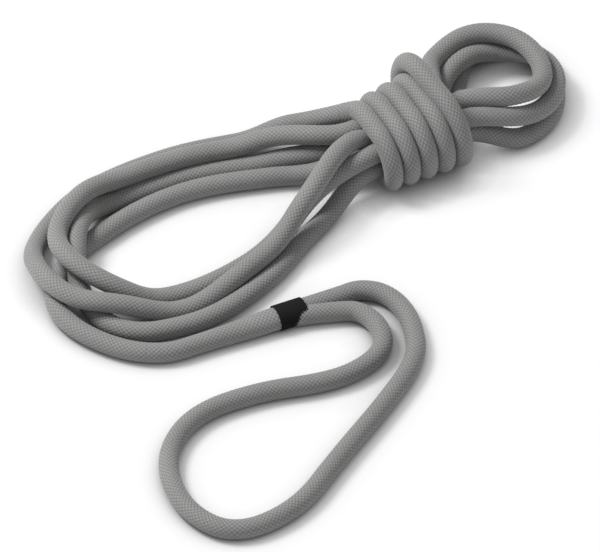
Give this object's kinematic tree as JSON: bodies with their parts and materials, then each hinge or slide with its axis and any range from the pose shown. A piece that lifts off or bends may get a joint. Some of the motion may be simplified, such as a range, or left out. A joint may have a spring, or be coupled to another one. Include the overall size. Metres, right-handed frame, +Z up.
{
  "type": "dynamic climbing rope",
  "caption": "Braided climbing rope put away as a wrapped hank, with a spliced eye at its end that has a dark whipping at the throat.",
  "frame": {"origin": "middle of the outline, on the ground that the rope lies on", "axes": "+X along the hank from the wide bend to the small rings, +Y away from the eye, +Z up"},
  "size_m": [0.3386, 0.271, 0.0499],
  "materials": {
    "braided_cover": "tight matt braid",
    "core_yarn": "twisted yarn",
    "whipping_twine": "waxed twine",
    "sealed_end": "melted fibre"
  },
  "bodies": {
    "hank": {"hank_and_winding": "braided_cover", "tail_end_seal": "sealed_end", "root_lead_cover": "braided_cover", "root_lead_core": "core_yarn"},
    "eye_end": {"eye_lead_cover": "braided_cover", "eye_lead_core": "core_yarn", "splice_neck_cover": "braided_cover", "splice_buried_core": "core_yarn", "throat_whipping": "whipping_twine", "splice_throat": "braided_cover", "eye_cover": "braided_cover", "eye_core": "core_yarn"}
  },
  "joints": [
    {"name": "eye_swing", "type": "hinge", "parent": "hank", "child": "eye_end", "pos_m": [-0.09002, -0.00268, 0.0042], "axis": [0, 0, 1], "range_deg": [-30, 2]}
  ]
}
